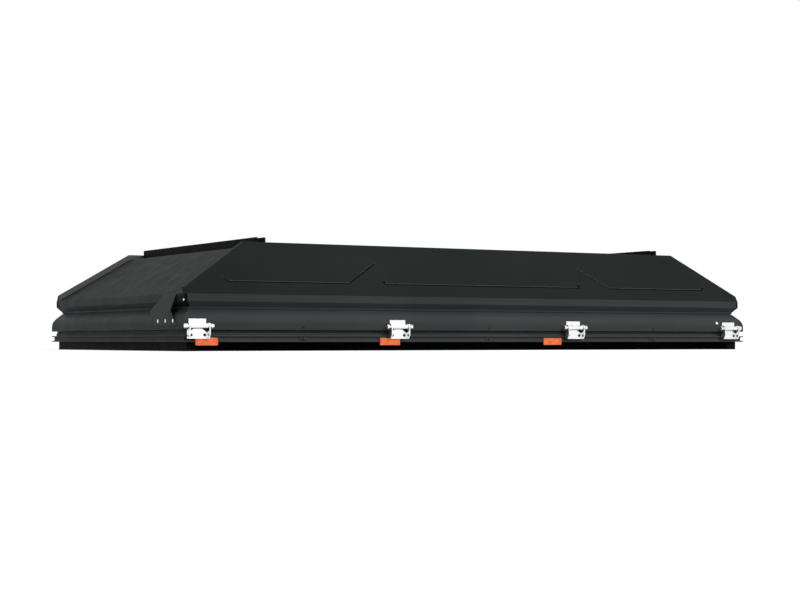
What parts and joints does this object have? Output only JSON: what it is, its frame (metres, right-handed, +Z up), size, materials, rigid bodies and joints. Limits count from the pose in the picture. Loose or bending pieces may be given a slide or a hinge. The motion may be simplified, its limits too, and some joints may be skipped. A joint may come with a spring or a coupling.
{
  "type": "hard shell roof top tent",
  "caption": "Low hip-roofed hard shell roof top tent, closed for travel: extruded tray and skirt frames, a side-hinged lid on stainless hinges, mattress, canvas and gas struts inside",
  "frame": {"origin": "middle of the pattern of rail fixing holes, on the underside of the rails, which is the plane the tent rests on", "axes": "+X towards the front of the vehicle along the tent, +Y to its left (opening side), +Z up"},
  "size_m": [2.406, 1.337, 0.389],
  "materials": {
    "panel_coat": "satin charcoal powder coat",
    "shell_coat": "satin charcoal powder coat on extrusions",
    "tray_coat": "satin black powder coat on extrusions",
    "black_coat": "fine-texture black powder coat",
    "stainless": "polished stainless sheet",
    "amber": "amber reflector plastic",
    "seal_rubber": "matt black rubber",
    "floor_laminate": "pale grey laminate skin",
    "mattress_cloth": "charcoal woven cover",
    "canvas": "grey-green ripstop canvas",
    "strut_black": "gloss black tube",
    "rod_steel": "ground steel rod"
  },
  "bodies": {
    "base": {"canvas_front": "canvas", "canvas_rear": "canvas", "canvas_side": "canvas", "cross_rail_front": "tray_coat", "cross_rail_rear": "tray_coat", "floor_panel": "floor_laminate", "hinge_base_1": "stainless", "hinge_base_2": "stainless", "hinge_base_3": "stainless", "hinge_base_4": "stainless", "latch_strike_front": "black_coat", "latch_strike_rear": "black_coat", "mattress": "mattress_cloth", "mount_rail_left": "tray_coat", "mount_rail_right": "tray_coat", "seal": "seal_rubber", "side_markers_left": "amber", "side_markers_right": "amber", "strut_bracket_front": "stainless", "strut_bracket_rear": "stainless", "tray_front": "tray_coat", "tray_left": "tray_coat", "tray_rear": "tray_coat", "tray_right": "tray_coat"},
    "lid": {"end_panel_front": "panel_coat", "end_panel_rear": "panel_coat", "gusset_front": "panel_coat", "gusset_rear": "panel_coat", "hinge_leaf_1": "stainless", "hinge_leaf_2": "stainless", "hinge_leaf_3": "stainless", "hinge_leaf_4": "stainless", "latch_front": "black_coat", "latch_rear": "black_coat", "roof_channel_front": "black_coat", "roof_channel_rear": "black_coat", "roof_flat": "panel_coat", "side_panel_left": "panel_coat", "side_panel_right": "panel_coat", "skirt_front": "shell_coat", "skirt_left": "shell_coat", "skirt_rear": "shell_coat", "skirt_right": "shell_coat", "strut_plate_front": "stainless", "strut_plate_rear": "stainless"},
    "strut_cylinder_front": {"strut_cylinder_front": "strut_black"},
    "strut_cylinder_rear": {"strut_cylinder_rear": "strut_black"},
    "strut_rod_front": {"strut_rod_front": "rod_steel"},
    "strut_rod_rear": {"strut_rod_rear": "rod_steel"}
  },
  "joints": [
    {"name": "lid_lift", "type": "hinge", "parent": "base", "child": "lid", "pos_m": [0, -0.668, 0.083], "axis": [1, 0, 0], "range_deg": [0, 50]},
    {"name": "strut_swing_front", "type": "hinge", "parent": "base", "child": "strut_cylinder_front", "pos_m": [1.128, -0.33, 0.105], "axis": [1, 0, 0], "range_deg": [0, 66.79]},
    {"name": "strut_stroke_front", "type": "slide", "parent": "strut_cylinder_front", "child": "strut_rod_front", "axis": [0, 0.9989, 0.0466], "range_m": [0, 0.15483]},
    {"name": "strut_swing_rear", "type": "hinge", "parent": "base", "child": "strut_cylinder_rear", "pos_m": [-1.128, -0.33, 0.105], "axis": [1, 0, 0], "range_deg": [0, 66.79]},
    {"name": "strut_stroke_rear", "type": "slide", "parent": "strut_cylinder_rear", "child": "strut_rod_rear", "axis": [0, 0.9989, 0.0466], "range_m": [0, 0.15483]}
  ],
  "couplings": [
    {"joint": "strut_swing_front", "follows": "lid_lift", "ratio": 1.3359},
    {"joint": "strut_stroke_front", "follows": "lid_lift", "m_per_rad": 0.17742},
    {"joint": "strut_swing_rear", "follows": "lid_lift", "ratio": 1.3359},
    {"joint": "strut_stroke_rear", "follows": "lid_lift", "m_per_rad": 0.17742}
  ]
}
